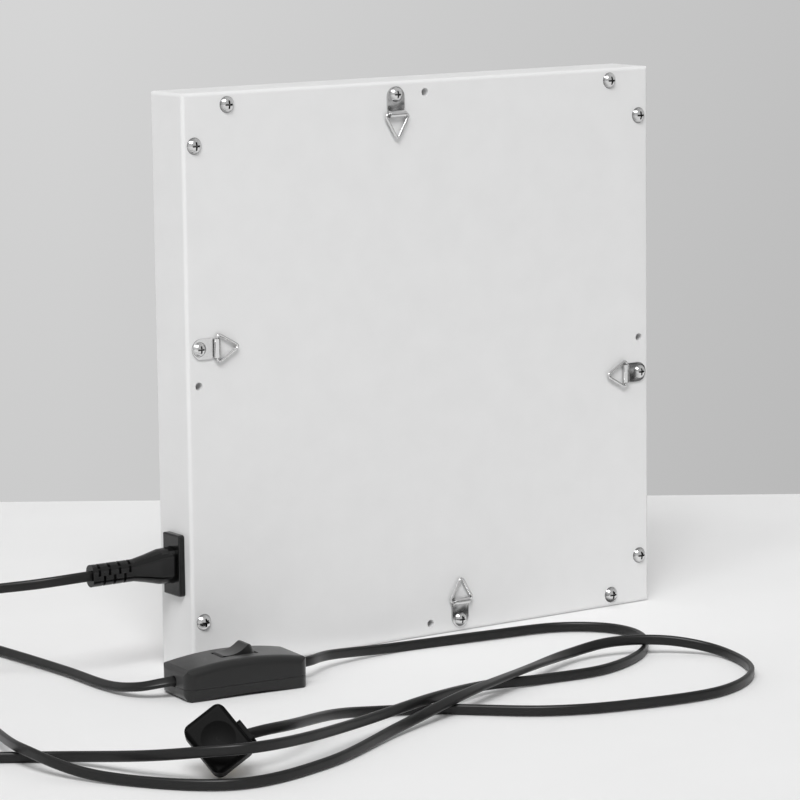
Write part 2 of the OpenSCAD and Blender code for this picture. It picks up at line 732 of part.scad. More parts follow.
// Triangle of wire whose bar lies in the strap's eye
module wire_ring(i) {
    side_angle = atan2(ring_reach, ring_w / 2);
    foot_a = [-ring_w / 2, 0, 0];
    foot_b = [ring_w / 2, 0, 0];
    tip = [0, ring_reach, 0];
    foot_cut = bend_cut(side_angle);
    tip_cut = bend_cut(180 - 2 * side_angle);
    color("silver") at_hanger(i) translate([0, strap_reach, eye_r]) {
        ring_side(foot_a, foot_b, foot_cut, foot_cut);
        ring_side(foot_b, tip, foot_cut, tip_cut);
        ring_side(tip, foot_a, tip_cut, foot_cut);
        ring_bend(foot_a, 0, 180 - side_angle);
        ring_bend(foot_b, 180 - side_angle, 180 - side_angle);
        ring_bend(tip, 180 + side_angle, 2 * side_angle);
    }
}

module ring_top() { wire_ring(0); }

module ring_left() { wire_ring(1); }

module ring_right() { wire_ring(2); }

module ring_bottom() { wire_ring(3); }

// Thin upright section of the connector, for lofting
module conn_section(x, w, h) {
    slab_x(x, x + 0.1) stadium(w, h, $fn = 32);
}

// Moulded connector: a nose in the socket, a body that draws in, and a slotted strain relief
module connector_body() {
    nose_w = socket_w - 2 * socket_clear;
    nose_h = socket_h - 2 * socket_clear;
    waist_x = flange_x + conn_len * 0.7;
    color("black") difference() {
        union() {
            slab_x(floor_x + socket_clear, flange_x) stadium(nose_w, nose_h);
            hull() {
                conn_section(flange_x - 0.1, nose_w, nose_h);
                conn_section(flange_x + conn_len * 0.35, nose_w, nose_h - 0.8);
            }
            hull() {
                conn_section(flange_x + conn_len * 0.35, nose_w, nose_h - 0.8);
                conn_section(waist_x, (nose_w + relief_w) / 2, (nose_h + relief_h) / 2 - 1);
            }
            hull() {
                conn_section(waist_x, (nose_w + relief_w) / 2, (nose_h + relief_h) / 2 - 1);
                conn_section(relief_x, relief_w, relief_h);
            }
            slab_x(relief_x, relief_end_x) stadium(relief_w, relief_h);
        }
        for (s = [-1, 1]) translate([floor_x, inlet_y, inlet_z + s * pin_gap / 2]) rotate([0, 90, 0])
            cylinder(d = tube_d + 2 * screw_clear, h = pin_len + 2);
        for (k = [0 : 3]) relief_slot(relief_end_x - slot_pitch * (k + 0.6), 1);
        for (k = [0 : 2]) relief_slot(relief_end_x - slot_pitch * (k + 1.1), -1);
    }
}

// Slot across one half of the strain relief, down to its core
module relief_slot(x, side) {
    difference() {
        translate([0, 0, side * relief_h / 2]) slab_x(x - slot_w / 2, x + slot_w / 2)
            square([2 * relief_w, relief_h], center = true);
        slab_x(x - slot_w, x + slot_w) stadium(relief_w - 3, relief_h - 3);
    }
}

// Two tubes that grip the inlet's pins
module connector_contacts() {
    contact_x = floor_x + socket_clear;
    color("goldenrod") for (s = [-1, 1]) translate([contact_x, inlet_y, inlet_z + s * pin_gap / 2])
        rotate([0, 90, 0]) difference() {
            cylinder(d = tube_d, h = pin_len);
            translate([0, 0, -1]) cylinder(d = pin_d + 2 * screw_clear, h = pin_len + 2);
        }
}

// Smooth curve through a cord's points; t counts the points
function curve_at(p, t) =
    let(n = len(p), i = min(floor(t), n - 2), f = t - i,
        a = p[max(i - 1, 0)], b = p[i], c = p[i + 1], d = p[min(i + 2, n - 1)])
    0.5 * (2 * b + (c - a) * f + (2 * a - 5 * b + 4 * c - d) * f ^ 2 + (3 * b - a - 3 * c + d) * f ^ 3);

function place_of(q) = [q[0], q[1], q[2]];

// Point of the cord's flat section at an angle: a strip with two round edges
function section_at(a) = [
    cord_t / 2 * cos(a),
    cord_t / 2 * sin(a) + sign(sin(a)) * (cord_w - cord_t) / 2
];

// Ring of points around the cord, square to its run and turned by its roll
function ring_at(p, t) =
    let(q = curve_at(p, t), step = 0.02, last = len(p) - 1,
        run = place_of(curve_at(p, min(t + step, last)) - curve_at(p, max(t - step, 0))),
        along = run / norm(run), flat = cross(along, [0, 0, 1]), side = flat / norm(flat),
        up = cross(side, along), thin = side * cos(q[3]) + up * sin(q[3]),
        wide = up * cos(q[3]) - side * sin(q[3]))
    [for (k = [0 : cord_sides - 1]) let(s = section_at((k + 0.5) * 360 / cord_sides))
        place_of(q) + thin * s[0] + wide * s[1]];

// Tube along a route, with its ends closed
module cord(route, rings) {
    last = len(route) - 1;
    points = [for (i = [0 : rings - 1]) each ring_at(route, i * last / (rings - 1))];
    walls = [for (i = [0 : rings - 2], k = [0 : cord_sides - 1])
        let(a = i * cord_sides + k, b = i * cord_sides + (k + 1) % cord_sides)
        each [[a, b, b + cord_sides], [a, b + cord_sides, a + cord_sides]]];
    first_end = [for (k = [cord_sides - 1 : -1 : 0]) k];
    last_end = [for (k = [0 : cord_sides - 1]) (rings - 1) * cord_sides + k];
    polyhedron(points, concat(walls, [first_end, last_end]));
}

module cord_to_switch() { color("black") cord(switch_route, switch_rings); }

module cord_to_plug() { color("black") cord(plug_route, plug_rings); }

// Switch's own frame: its length along X, its base on the table
module at_switch() {
    translate([switch_x, switch_y, 0]) rotate([0, 0, switch_turn]) children();
}

// Arched bar whose upper long edges are rounded, taken in by a margin
module arch_bar(margin) {
    w = switch_w - 2 * margin;
    r = arch_r - margin;
    deep = switch_h;
    translate([0, w / 2, switch_h - arch_r]) rotate([90, 0, 0]) rotate_extrude($fn = 360) {
        translate([r - deep, 0]) square([deep - switch_edge_r, w]);
        translate([r - deep, switch_edge_r]) square([deep, w - 2 * switch_edge_r]);
        for (y = [switch_edge_r, w - switch_edge_r])
            translate([r - switch_edge_r, y]) circle(switch_edge_r);
    }
}

// What the round upper edges at the switch's ends leave out
module end_edges() {
    x = switch_l / 2 - switch_end_r;
    z = switch_h - arch_r + sqrt((arch_r - switch_end_r) ^ 2 - x ^ 2) + 0.1;
    for (a = [0, 180]) rotate(a) translate([x, switch_w, z]) rotate([90, 0, 0])
        linear_extrude(2 * switch_w) difference() {
            square(2 * switch_end_r);
            circle(switch_end_r);
        }
}

// Fine groove around the foot of the upper shell
module seam() {
    translate([0, 0, split_h - 1]) linear_extrude(1 + seam_w) difference() {
        square([2 * switch_l, 2 * switch_w], center = true);
        round_rect(switch_l - 2 * seam_d, switch_w - 2 * seam_d, switch_corner_r - seam_d);
    }
}

// Side view of a tub: straight sides and two round lower corners
module tub_profile(w, h, r) {
    translate([-w / 2, r]) square([w, h - r]);
    translate([r - w / 2, 0]) square([w - 2 * r, r]);
    for (s = [-1, 1]) translate([s * (w / 2 - r), r]) circle(r);
}

// Outer form of the switch below its split line
module base_form() {
    intersection() {
        linear_extrude(split_h) round_rect(switch_l, switch_w, switch_corner_r);
        translate([-switch_l / 2, 0, 0]) rotate([90, 0, 90]) linear_extrude(switch_l)
            tub_profile(switch_w, switch_h, switch_foot_r);
        translate([0, switch_w / 2, 0]) rotate([90, 0, 0]) linear_extrude(switch_w)
            tub_profile(switch_l, switch_h, switch_end_r);
    }
}

// Low arch across the switch's underside
module base_arch() {
    reach = switch_l / 2 - 5;
    steps = 10;
    arch = [for (i = [0 : steps]) let(u = 2 * i / steps - 1) [u * reach, base_hollow * (1 - u ^ 2)]];
    translate([0, switch_w, 0]) rotate([90, 0, 0]) linear_extrude(2 * switch_w)
        polygon(concat([[-reach, -1]], arch, [[reach, -1]]));
}

// Round way for the cord through both ends of the switch
module gland() {
    translate([-switch_l, 0, cord_z]) rotate([0, 90, 0])
        cylinder(d = cord_w + 2 * gland_clear, h = 2 * switch_l);
}

// Upper or inner form of the switch above its split line
module switch_form(margin, z0) {
    intersection() {
        arch_bar(margin);
        translate([0, 0, z0]) linear_extrude(switch_h)
            round_rect(switch_l - 2 * margin, switch_w - 2 * margin, switch_corner_r - margin);
    }
}

// Lower shell with an arched underside and two screw holes
module switch_base() {
    color("black") at_switch() difference() {
        union() {
            difference() {
                base_form();
                translate([0, 0, base_hollow + shell_t]) linear_extrude(split_h)
                    round_rect(switch_l - 2 * shell_t, switch_w - 2 * shell_t, switch_corner_r - shell_t);
            }
            for (p = switch_screw_at) translate([p[0], p[1], shell_t / 2])
                cylinder(d = switch_post_d, h = split_h - shell_t / 2);
        }
        base_arch();
        gland();
        for (p = switch_screw_at) translate([p[0], p[1], -1]) {
            cylinder(d = small_hole_d, h = switch_h);
            cylinder(d = small_head_d + 0.4, h = seat_z + 1);
        }
    }
}

// Upper shell with the rocker's window, the cheeks for its pin and a gland at each end
module switch_cover() {
    color("black") at_switch() difference() {
        union() {
            difference() {
                switch_form(0, split_h);
                switch_form(shell_t, split_h - 1);
            }
            intersection() {
                switch_form(shell_t / 2, split_h);
                union() {
                    for (y = [cheek_y, -cheek_y - cheek_t]) translate([-3, y, pin_z - 3])
                        cube([6, cheek_t, pin_depth + 3]);
                    for (p = switch_screw_at) translate([p[0], p[1], split_h])
                        cylinder(d = switch_post_d, h = switch_h);
                }
            }
        }
        translate([-window_l / 2, -rocker_w / 2 - rocker_clear, pin_z - 1])
            cube([window_l, rocker_w + 2 * rocker_clear, switch_h]);
        translate([0, cheek_y + cheek_t, pin_z]) rotate([90, 0, 0])
            cylinder(d = rocker_pin_d + 2 * pin_clear, h = 2 * (cheek_y + cheek_t));
        gland();
        end_edges();
        seam();
        for (p = switch_screw_at) translate([p[0], p[1], split_h - 1])
            cylinder(d = small_hole_d, h = seat_z + switch_screw_len - split_h + 1.5);
    }
}

// Rocker's own frame: its pin along Y at the origin, at rest with one end pressed
module at_rocker() {
    at_switch() translate([0, 0, pin_z]) rotate([0, rocker_tilt, 0]) children();
}

// What the round tips of the rocker leave out between its ends and its saddle
module tip_rounds(saddle_r, saddle_z) {
    r = rocker_tip_r;
    z = (saddle_z ^ 2 + (rocker_r - r) ^ 2 - (saddle_r + r) ^ 2) / (2 * saddle_z);
    x = sqrt((rocker_r - r) ^ 2 - z ^ 2);
    out = [x, z] / norm([x, z]);
    up = [-x, saddle_z - z] / norm([-x, saddle_z - z]);
    mid = (out + up) / norm(out + up);
    for (a = [0, 180]) rotate(a) translate([x, rocker_w, z]) rotate([90, 0, 0])
        linear_extrude(2 * rocker_w) difference() {
            polygon([[0, 0], 3 * r * out, 4 * r * mid, 3 * r * up]);
            circle(r + 0.04);
        }
}

// Saddle-shaped rocker with round ends about its pin and a nose below
module rocker() {
    half_chord = sqrt(rocker_r ^ 2 - rocker_tip ^ 2);
    saddle_r = (half_chord ^ 2 + rocker_dip ^ 2) / (2 * rocker_dip);
    saddle_z = rocker_tip - rocker_dip + saddle_r;
    color("black") at_rocker() difference() {
        union() {
            intersection() {
                translate([0, rocker_w, 0]) rotate([90, 0, 0])
                    cylinder(r = rocker_r, h = 2 * rocker_w, $fn = 96);
                translate([0, 0, -rocker_pin_d]) linear_extrude(rocker_pin_d + rocker_tip)
                    round_rect(2 * rocker_r + 0.4, rocker_w, rocker_plan_r);
            }
            translate([-2, -1.5, -nose_reach]) cube([4, 3, nose_reach - 1]);
        }
        translate([0, rocker_w, saddle_z]) rotate([90, 0, 0])
            cylinder(r = saddle_r, h = 2 * rocker_w, $fn = 180);
        tip_rounds(saddle_r, saddle_z);
        translate([0, rocker_w, 0]) rotate([90, 0, 0])
            cylinder(d = rocker_pin_d + 2 * pin_clear, h = 2 * rocker_w);
    }
}

module rocker_pin() {
    reach = cheek_y + cheek_t - 0.2;
    color("silver") at_switch() translate([0, reach, pin_z]) rotate([90, 0, 0])
        cylinder(d = rocker_pin_d, h = 2 * reach);
}

// Copper strip under the rocker, on both sides of its nose
module contact_bridge() {
    color("peru") at_rocker() for (s = [-1, 1])
        translate([-bridge_l / 2, s * 4 - 1.5, -rocker_pin_d - 0.8]) cube([bridge_l, 3, 0.8]);
}

// Two upright terminals that the bridge meets when the raised end is pressed
module fixed_contacts() {
    tip = bridge_l / 2 * sin(rocker_tilt) + (rocker_pin_d + 0.8) * cos(rocker_tilt) + 0.4;
    floor_z = base_hollow + shell_t;
    color("goldenrod") at_switch() for (s = [-1, 1])
        translate([-contact_at - contact_w / 2, s * 4 - 1.5, floor_z])
            cube([contact_w, 3, pin_z - tip - floor_z]);
}

// Leaf spring that the rocker's nose rides on, on its foot
module detent_spring() {
    floor_z = base_hollow + shell_t;
    leaf_z = pin_z - norm([nose_reach, 2]) - 0.3 - spring_t;
    foot_x = spring_l - contact_at;
    color("lightsteelblue") at_switch() {
        translate([foot_x - spring_l, -1.5, leaf_z]) cube([spring_l, 3, spring_t]);
        translate([foot_x - spring_t, -1.5, floor_z]) cube([spring_t, 3, leaf_z - floor_z + spring_t]);
    }
}

// Cores inside the switch: one runs through, the other is cut and led to the terminals
module switch_wires() {
    end_x = switch_l / 2 - 6;
    core_y = (cord_w - cord_t) / 2;
    side_y = switch_w / 2 - 5;
    turn_x = end_x - 7.5;
    inner_x = contact_at + contact_w / 2;
    color("sienna") at_switch() {
        bent_wire([[-end_x, -core_y, wire_z], [-turn_x, -core_y, wire_z], [-turn_x, -side_y, wire_z],
            [turn_x, -side_y, wire_z], [turn_x, -core_y, wire_z], [end_x, -core_y, wire_z]], lead_d);
        bent_wire([[-end_x, core_y, wire_z], [-2 * inner_x, core_y, wire_z], [-2 * inner_x, -4, wire_z],
            [-inner_x, -4, wire_z]], lead_d);
        bent_wire([[end_x, core_y, wire_z], [turn_x, core_y, wire_z], [turn_x, side_y, wire_z],
            [-contact_at, side_y, wire_z], [-contact_at, 5.5, wire_z]], lead_d);
    }
}

module switch_screws() {
    color("silver") at_switch() for (p = switch_screw_at) translate([p[0], p[1], seat_z])
        rotate([180, 0, 0]) screw(small_screw_d, switch_screw_len, small_head_d, small_head_h);
}

// Plug's own frame: its face up at the origin, its cord leaving along +Y, its blades below
module at_plug() {
    translate([plug_x, plug_y, plug_z]) rotate([0, 0, plug_heading]) rotate([plug_lean, 0, 0])
        rotate([0, 0, plug_roll]) children();
}

// Rounded block with a grip hollow, a collar for the cord and slots for the blades
module plug_body() {
    collar_x = 5;
    color("black") at_plug() difference() {
        union() {
            translate([0, 0, -plug_t]) soft_block(plug_l, plug_w, plug_t, plug_corner_r, plug_r, plug_r);
            translate([collar_x, plug_w / 2 - 1, -plug_t / 2]) rotate([-90, 0, 0])
                linear_extrude(collar_h + 1) round_rect(collar_w, plug_t - 2 * plug_r, 2);
        }
        translate([0, 0, grip_r - grip_depth]) sphere(grip_r, $fn = 128);
        blade_forms(blade_clear, 6);
    }
}

// Both blades with a margin, from a depth inside the body to their tips
module blade_forms(margin, inside) {
    for (s = [-1, 1])
        translate([s * blade_gap / 2 - blade_t / 2 - margin, -blade_w / 2 - margin, -plug_t - blade_len])
        cube([blade_t + 2 * margin, blade_w + 2 * margin, blade_len + inside]);
}

module plug_blades() {
    color("goldenrod") at_plug() difference() {
        blade_forms(0, 6);
        translate([-blade_gap, 0, -plug_t - blade_len + 4]) rotate([0, 90, 0])
            cylinder(d = 3, h = 2 * blade_gap);
    }
}

rear_housing();
front_bezel();
light_board();
red_lamps();
infrared_lamps();
cover_screws();
board_screws();
driver_board();
driver_screws();
driver_transformer();
driver_capacitors();
driver_choke();
driver_chips();
inlet_body();
inlet_pins();
inlet_leads();
light_leads();
strap_top();
strap_left();
strap_right();
strap_bottom();
hanger_screws();
ring_top();
ring_left();
ring_right();
ring_bottom();
connector_body();
connector_contacts();
cord_to_switch();
switch_base();
switch_cover();
rocker();
rocker_pin();
contact_bridge();
fixed_contacts();
detent_spring();
switch_wires();
switch_screws();
cord_to_plug();
plug_body();
plug_blades();
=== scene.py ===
import json
import math

import bmesh
import bpy
from mathutils import Matrix, Vector


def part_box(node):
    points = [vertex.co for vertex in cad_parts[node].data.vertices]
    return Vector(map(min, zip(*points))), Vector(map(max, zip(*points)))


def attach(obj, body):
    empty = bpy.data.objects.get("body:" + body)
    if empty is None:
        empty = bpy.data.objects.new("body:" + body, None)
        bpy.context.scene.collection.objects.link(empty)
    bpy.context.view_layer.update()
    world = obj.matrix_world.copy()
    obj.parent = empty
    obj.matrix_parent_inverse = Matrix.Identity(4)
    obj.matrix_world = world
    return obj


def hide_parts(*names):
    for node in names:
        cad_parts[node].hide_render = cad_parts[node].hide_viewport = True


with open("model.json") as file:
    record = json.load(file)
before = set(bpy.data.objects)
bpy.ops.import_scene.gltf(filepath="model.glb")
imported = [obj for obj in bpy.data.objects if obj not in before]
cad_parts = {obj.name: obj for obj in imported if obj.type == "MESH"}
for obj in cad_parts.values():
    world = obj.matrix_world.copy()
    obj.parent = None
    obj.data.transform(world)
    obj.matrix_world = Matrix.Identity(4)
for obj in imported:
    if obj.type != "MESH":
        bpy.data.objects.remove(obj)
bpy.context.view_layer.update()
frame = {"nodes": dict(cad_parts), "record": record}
NODES = frame["nodes"]
MM = 0.001
UP = Vector((0, 0, 1))

# Camera at the photograph's place; sensor and lens in millimetres
CAMERA_AT = Vector((1.1615, 1.6673, 0.4499))
CAMERA_LOOK = Vector((-0.5621, -0.8124, -0.1549))
CAMERA_UP = Vector((-0.0981, -0.1205, 0.9879))
CAMERA_SENSOR = 36
CAMERA_LENS = 166.6

# Cord: the same section and routes as the solids, in millimetres, with the roll in degrees
CORD_W, CORD_T = 5.6, 3.0
CORD_GROOVE = 0.12
CORD_STEP = 2.5
ROUND_STEPS = 8
ROUTE_STEPS = 40
SWITCH_ROUTE = [
    (203.4, 0.8, 58, 0), (213.4, 0.8, 58, 0), (236, -7, 56, 10), (262, -31, 51, 20), (282, -62, 41, 10),
    (288, -100, 27, 0), (280, -130, 13, 0), (257, -144, 5.4, 0), (230, -135, 3.3, 0), (219, -108, 3.1, 0),
    (214.5, -72, 3.1, 40), (211, -23, 3, 55), (211, 20, 3.4, 50), (207, 44, 6.2, 50),
    (195.8, 54.28, 8.9, 45), (184.85, 55.37, 8.9, 45),
]
PLUG_ROUTE = [
    (126.15, 61.23, 8.9, 0), (112, 62.6, 10, 0), (88, 48, 7.4, 0), (42, 38.5, 3.1, 0), (-18, 45, 3.1, 0),
    (-60, 52, 3.1, 0), (-83, 73, 3.1, 0), (-82, 102, 3.1, 0), (-57, 132, 3.1, 0), (-18, 150, 3.1, 0),
    (24, 148, 3.2, 0), (58, 148, 5, 0), (108, 170, 9.8, 0), (170, 197, 12, 0), (216, 219, 15.6, 0),
    (250, 229, 18.2, 0), (272, 217, 16.8, 0), (288, 186, 11, 0), (306, 138, 3.6, 0), (344, 108, 3.1, 0),
    (374, 76, 3.1, 0), (365, 38, 3.1, 0), (328, 27, 3.1, 0), (307, 58, 4.6, 0), (325, 134, 9.9, 0),
    (309, 182, 3.6, 0), (267, 231, 3.2, 0), (209, 225, 3.2, 0), (143, 192, 4.6, 10), (88, 171, 9.2, 60),
    (30, 144, 8.6, 90), (-18, 120, 6.4, 40), (-48, 120, 8.6, 10), (-76, 134, 7.8, 0), (-93, 158, 3.5, 0),
    (-77, 201, 3.1, 0), (-35, 226, 3.1, 0), (20, 221, 3.1, 0), (62, 205, 3.1, 0), (102, 170, 3.1, 0),
    (134, 156, 4, 0), (167, 168, 9.6, 0), (214, 203, 18.6, 0), (236, 212, 20.8, 0), (249, 211, 19.4, 0),
]

# Front frame, in millimetres: the solid's own sizes, and the radius of its softened edges
WINDOW_W = 279.0
FRAME_T = 2.5
FRAME_BEVEL = 1.5
SKIRT_T = 2.0
FRAME_EDGE_R = 0.3
FRAME_EDGE_STEPS = 3

# What all finishes share: noise, grain, painted shade in corners and dents
BROAD_TO_FINE = 25
BROAD_DETAIL, FINE_DETAIL, DENT_DETAIL = 4, 3, 1
COLOUR_FROM, COLOUR_TO = 0.3, 0.7
LEAST_ROUGH = 0.05
GRAIN_STRENGTH = 0.4
SHEEN_ROUGH = 0.4
# Painted shade: occlusion samples, and the share of colour left in the deepest corners
PAINTED_SHADE_SAMPLES = 8
PAINTED_SHADE_LEFT = 0.12
DENT_SCALE = 130
# Places of the colour sockets on a mix node
MIX_FACTOR, MIX_A, MIX_B, MIX_RESULT = 0, 6, 7, 2

# Stage, in metres: two points on the photograph's table edge, the floor's reach from it, and the cards
EDGE_A = Vector((-0.0097, -0.499, 0))
EDGE_B = Vector((-0.448, -0.1885, 0))
FLOOR_HALF_W = 5
FLOOR_DEPTH = 8
PALE_CARD_H = 4
DARK_CARD_FOOT = [Vector((-0.90, 0.35, 0)), Vector((-0.42, 0.75, 0))]
DARK_CARD_H = 0.24
STAGE_ROUGH = 0.7

# Lamps: place in metres and power in watts
LAMP_SIZE = 5.28
LAMP_TARGET = Vector((0, 0, 0.1))
LAMPS = {"key": ((4.8, 7.2, 9.42), 900), "side": ((7.5, 4.32, 9.42), 312)}

# World levels: the light from the horizon up, and the shown grey across the picture and upward, which
# paints shade into the background: darker to the right and lower down
LIGHT_SPAN, LIGHT_LEVELS = (0.0, 1.0), (0.20, 0.34)
ACROSS_SPAN, ACROSS_LEVELS = (-0.10, 0.10), (0.645, 0.525)
UPWARD_SPAN, UPWARD_LEVELS = (-0.18, -0.05), (0.93, 1.03)


def add_object(name, data):
    obj = bpy.data.objects.new(name, data)
    bpy.context.scene.collection.objects.link(obj)
    return obj


def make_camera():
    data = bpy.data.cameras.new("camera")
    data.sensor_width = CAMERA_SENSOR
    data.lens = CAMERA_LENS
    cam = add_object("camera", data)
    look = CAMERA_LOOK.normalized()
    right = look.cross(CAMERA_UP).normalized()
    turn = Matrix((right, right.cross(look), -look)).transposed().to_4x4()
    cam.matrix_world = Matrix.Translation(CAMERA_AT) @ turn
    bpy.context.scene.camera = cam


def join_rings(bm, a, b):
    """Faces between two rings with as many points each."""
    n = len(a)
    for k in range(n):
        bm.faces.new((a[k], a[(k + 1) % n], b[(k + 1) % n], b[k]))


def mesh_piece(name, bm, material):
    """Object from a bmesh, with its faces turned outward."""
    bmesh.ops.recalc_face_normals(bm, faces=bm.faces)
    mesh = bpy.data.meshes.new(name)
    bm.to_mesh(mesh)
    bm.free()
    mesh.materials.append(material)
    return add_object(name, mesh)


def curve_at(points, t):
    """Smooth curve through a route's points; t counts the points."""
    i = min(int(t), len(points) - 2)
    f = t - i
    a, b = points[max(i - 1, 0)], points[i]
    c, d = points[i + 1], points[min(i + 2, len(points) - 1)]
    return [0.5 * (2 * q + (r - p) * f + (2 * p - 5 * q + 4 * r - s) * f ** 2
                   + (3 * q - p - 3 * r + s) * f ** 3)
            for p, q, r, s in zip(a, b, c, d)]


def cord_section():
    """Flat twin-core section: two round edges and a shallow groove along each flat side."""
    points = []
    offset = (CORD_W - CORD_T) / 2
    for side, start in ((1, 0), (-1, 180)):
        for k in range(ROUND_STEPS + 1):
            a = math.radians(start + 180 * k / ROUND_STEPS)
            points.append((CORD_T / 2 * math.cos(a), side * offset + CORD_T / 2 * math.sin(a)))
        points.append((-side * (CORD_T / 2 - CORD_GROOVE), 0))
    return points


def make_cord(name, route, material):
    """Tube along a route, with rings a few millimetres apart; its path and length are given in metres."""
    section = cord_section()
    fine = [curve_at(route, i / ROUTE_STEPS) for i in range((len(route) - 1) * ROUTE_STEPS + 1)]
    spots = [Vector(q[:3]) for q in fine]
    last = len(fine) - 1
    picked, gone, length = [0], 0.0, 0.0
    for i in range(1, len(fine)):
        step = (spots[i] - spots[i - 1]).length
        gone += step
        length += step
        if gone >= CORD_STEP:
            picked.append(i)
            gone = 0.0
    if picked[-1] != last:
        picked.append(last)
    bm = bmesh.new()
    rings = []
    for i in picked:
        along = (spots[min(i + 1, last)] - spots[max(i - 1, 0)]).normalized()
        side = along.cross(UP).normalized()
        up = side.cross(along)
        roll = math.radians(fine[i][3])
        thin = side * math.cos(roll) + up * math.sin(roll)
        wide = up * math.cos(roll) - side * math.sin(roll)
        rings.append([bm.verts.new((spots[i] + thin * x + wide * y) * MM) for x, y in section])
    for a, b in zip(rings, rings[1:]):
        join_rings(bm, a, b)
    bm.faces.new(list(reversed(rings[0])))
    bm.faces.new(rings[-1])
    obj = mesh_piece(name, bm, material)
    for face in obj.data.polygons:
        face.use_smooth = True
    path = [[c * MM for c in fine[i][:3]] for i in picked]
    return obj, path, length * MM


def make_front_frame(material):
    """Frame around the lamps: a section led round a square, mitred at its corners, with softened edges."""
    low, high = (Vector(c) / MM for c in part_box("front_bezel"))
    outer, front, middle = high.x, low.y, (low.z + high.z) / 2
    back = front + FRAME_T
    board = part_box("light_board")[0][1] / MM
    window = WINDOW_W / 2
    skirt = window + SKIRT_T
    section = [(outer, front), (window + FRAME_BEVEL, front), (window, front + FRAME_BEVEL),
               (window, board), (skirt, board), (skirt, back), (outer, back)]
    bm = bmesh.new()
    corners = [[bm.verts.new(Vector((x * r, y, middle + z * r)) * MM) for r, y in section]
               for x, z in ((1, 1), (-1, 1), (-1, -1), (1, -1))]
    for a, b in zip(corners, corners[1:] + corners[:1]):
        join_rings(bm, a, b)
    obj = mesh_piece("front_frame", bm, material)
    soften = obj.modifiers.new("soft_edges", "BEVEL")
    soften.width = FRAME_EDGE_R * MM
    soften.segments = FRAME_EDGE_STEPS
    soften.limit_method = "ANGLE"
    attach(obj, "panel")
    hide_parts("front_bezel")


def grey(level):
    return (level, level, level)


def noise(tree, place, scale, detail):
    node = tree.nodes.new("ShaderNodeTexNoise")
    node.inputs["Scale"].default_value = scale
    node.inputs["Detail"].default_value = detail
    tree.links.new(place.outputs["Object"], node.inputs["Vector"])
    return node.outputs["Fac"]


def set_range(node, spans):
    """Sets a map range node's ends: From Min, From Max, To Min, To Max, as far as they are given."""
    for name, value in spans.items():
        node.inputs[name].default_value = value


def add_painted_shade(tree, colour, shader, reach, span):
    """Paints shade into the colour: ambient occlusion darkens corners within a reach in millimetres, from
    full to none over a span of openness.
    """
    corner = tree.nodes.new("ShaderNodeAmbientOcclusion")
    corner.samples = PAINTED_SHADE_SAMPLES
    corner.inputs["Distance"].default_value = reach * MM
    shade_amount = tree.nodes.new("ShaderNodeMapRange")
    set_range(shade_amount, {"From Min": span[0], "From Max": span[1], "To Min": PAINTED_SHADE_LEFT})
    darken = tree.nodes.new("ShaderNodeMix")
    darken.data_type = "RGBA"
    darken.blend_type = "MULTIPLY"
    darken.inputs[MIX_FACTOR].default_value = 1.0
    tree.links.new(corner.outputs["AO"], shade_amount.inputs["Value"])
    tree.links.new(colour, darken.inputs[MIX_A])
    tree.links.new(shade_amount.outputs["Result"], darken.inputs[MIX_B])
    tree.links.new(darken.outputs[MIX_RESULT], shader.inputs["Base Color"])


def surface(name, colour, rough, metal=0.0, spread=0.06, grain=900.0, bump=0.02, rough_spread=0.08,
            specular=0.5, clear=0.0, painted_shade=0.0, painted_shade_span=(0.35, 0.85), dents=0.0, sheen=0.0):
    """Procedural finish: colour and roughness vary with noise, and a fine grain lifts the surface.

    Bump and dents are depths in millimetres, of the grain and of a broad unevenness; a reach in
    millimetres, when given, adds painted shade that darkens the colour in corners.
    """
    mat = bpy.data.materials.new(name)
    mat.use_nodes = True
    tree = mat.node_tree
    link = tree.links.new
    shader = tree.nodes["Principled BSDF"]
    shader.inputs["Metallic"].default_value = metal
    shader.inputs["Specular IOR Level"].default_value = specular
    shader.inputs["Transmission Weight"].default_value = clear
    shader.inputs["Sheen Weight"].default_value = sheen
    shader.inputs["Sheen Roughness"].default_value = SHEEN_ROUGH
    place = tree.nodes.new("ShaderNodeTexCoord")
    broad = noise(tree, place, grain / BROAD_TO_FINE, BROAD_DETAIL)
    ramp = tree.nodes.new("ShaderNodeValToRGB")
    first, second = ramp.color_ramp.elements
    first.position, second.position = COLOUR_FROM, COLOUR_TO
    first.color = [max(c * (1 - spread), 0) for c in colour] + [1]
    second.color = [min(c * (1 + spread), 1) for c in colour] + [1]
    link(broad, ramp.inputs["Fac"])
    link(ramp.outputs["Color"], shader.inputs["Base Color"])
    rough_map = tree.nodes.new("ShaderNodeMapRange")
    least, most = max(rough - rough_spread, LEAST_ROUGH), min(rough + rough_spread, 1)
    set_range(rough_map, {"To Min": least, "To Max": most})
    link(broad, rough_map.inputs["Value"])
    link(rough_map.outputs["Result"], shader.inputs["Roughness"])
    lift = tree.nodes.new("ShaderNodeBump")
    lift.inputs["Strength"].default_value = GRAIN_STRENGTH
    lift.inputs["Distance"].default_value = bump * MM
    link(noise(tree, place, grain, FINE_DETAIL), lift.inputs["Height"])
    link(lift.outputs["Normal"], shader.inputs["Normal"])
    # Painted shade: the colour darkens where ambient occlusion finds nearby surfaces
    if painted_shade:
        add_painted_shade(tree, ramp.outputs["Color"], shader, painted_shade, painted_shade_span)
    if dents:
        dent = tree.nodes.new("ShaderNodeBump")
        dent.inputs["Distance"].default_value = dents * MM
        link(noise(tree, place, DENT_SCALE, DENT_DETAIL), dent.inputs["Height"])
        link(dent.outputs["Normal"], lift.inputs["Normal"])
    return mat


